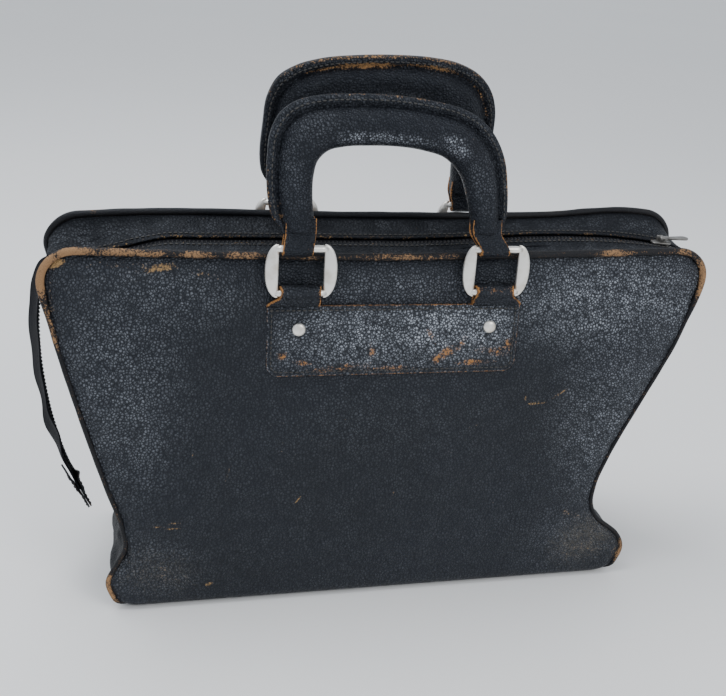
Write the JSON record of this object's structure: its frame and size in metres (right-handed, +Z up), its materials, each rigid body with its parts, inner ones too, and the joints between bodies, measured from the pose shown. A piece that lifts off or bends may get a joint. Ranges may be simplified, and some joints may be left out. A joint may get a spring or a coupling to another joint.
{
  "type": "doctor bag",
  "caption": "Soft leather doctor bag with a zipped mouth, folded gussets, and two stiff handles hung on metal rings.",
  "frame": {"origin": "middle of the base's underside, on the surface the bag stands on", "axes": "+X along the bag's length towards the closed end of the zip, -Y towards the front, +Z up"},
  "size_m": [0.4455, 0.1212, 0.3462],
  "materials": {
    "black_leather": "pebble grained, worn",
    "edge_leather": "piping leather, worn to tan",
    "lining_cloth": "plain woven",
    "stiff_board": "pressed fibre board",
    "zip_tape": "herringbone woven",
    "zip_teeth": "dull",
    "nickel": "satin nickel plate",
    "cord_core": "pressed felt"
  },
  "bodies": {
    "root": {"base_panel": "black_leather", "base_board": "stiff_board", "base_lining": "lining_cloth", "gusset_left": "black_leather", "gusset_right": "black_leather"},
    "front_side": {"front_panel": "black_leather", "front_piping": "edge_leather", "front_facing": "black_leather", "front_zip_tape": "zip_tape", "front_zip_teeth": "zip_teeth", "front_patch": "black_leather", "front_rivets": "nickel", "front_backing": "stiff_board", "front_lining": "lining_cloth"},
    "rear_side": {"rear_panel": "black_leather", "rear_piping": "edge_leather", "rear_facing": "black_leather", "rear_zip_tape": "zip_tape", "rear_zip_teeth": "zip_teeth", "rear_patch": "black_leather", "rear_rivets": "nickel", "rear_backing": "stiff_board", "rear_lining": "lining_cloth"},
    "front_ring_left": {"front_ring_left": "nickel"},
    "front_ring_right": {"front_ring_right": "nickel"},
    "front_handle": {"front_grip": "black_leather", "front_grip_core": "cord_core", "front_loop_left": "black_leather", "front_loop_right": "black_leather"},
    "rear_ring_left": {"rear_ring_left": "nickel"},
    "rear_ring_right": {"rear_ring_right": "nickel"},
    "rear_handle": {"rear_grip": "black_leather", "rear_grip_core": "cord_core", "rear_loop_left": "black_leather", "rear_loop_right": "black_leather"},
    "slider": {"zip_slider": "nickel"},
    "pull": {"zip_pull": "nickel"},
    "tail": {"zip_tail": "zip_tape", "tail_tab": "black_leather"}
  },
  "joints": [
    {"name": "front_side_open", "type": "hinge", "parent": "root", "child": "front_side", "pos_m": [0, -0.057, 0.0033], "axis": [1, 0, 0], "range_deg": [0, 12]},
    {"name": "rear_side_open", "type": "hinge", "parent": "root", "child": "rear_side", "pos_m": [0, 0.057, 0.0033], "axis": [-1, 0, 0], "range_deg": [0, 12]},
    {"name": "front_ring_left_swing", "type": "hinge", "parent": "front_side", "child": "front_ring_left", "pos_m": [-0.063, -0.03593, 0.21537], "axis": [1, 0, 0], "range_deg": [0, 150]},
    {"name": "front_ring_right_swing", "type": "hinge", "parent": "front_side", "child": "front_ring_right", "pos_m": [0.063, -0.03593, 0.21537], "axis": [1, 0, 0], "range_deg": [0, 150]},
    {"name": "front_handle_swing", "type": "hinge", "parent": "front_ring_left", "child": "front_handle", "pos_m": [0, -0.03357, 0.24327], "axis": [1, 0, 0], "range_deg": [-5, 30]},
    {"name": "rear_ring_left_swing", "type": "hinge", "parent": "rear_side", "child": "rear_ring_left", "pos_m": [-0.063, 0.0358, 0.22431], "axis": [-1, 0, 0], "range_deg": [0, 150]},
    {"name": "rear_ring_right_swing", "type": "hinge", "parent": "rear_side", "child": "rear_ring_right", "pos_m": [0.063, 0.0358, 0.22431], "axis": [-1, 0, 0], "range_deg": [0, 150]},
    {"name": "rear_handle_swing", "type": "hinge", "parent": "rear_ring_left", "child": "rear_handle", "pos_m": [0, 0.03357, 0.25222], "axis": [-1, 0, 0], "range_deg": [-5, 30]},
    {"name": "zip_slide", "type": "slide", "parent": "rear_side", "child": "slider", "axis": [-1, 0, 0], "range_m": [0, 0.325]},
    {"name": "pull_flip", "type": "hinge", "parent": "slider", "child": "pull", "pos_m": [0.196, 0, 0.2402], "axis": [0, -1, 0], "range_deg": [0, 170]},
    {"name": "tail_swing", "type": "hinge", "parent": "root", "child": "tail", "pos_m": [-0.212, 0, 0.235], "axis": [0, 1, 0], "range_deg": [0, 80]}
  ],
  "couplings": [
    {"joint": "front_ring_right_swing", "follows": "front_ring_left_swing", "ratio": 1},
    {"joint": "rear_ring_right_swing", "follows": "rear_ring_left_swing", "ratio": 1}
  ]
}
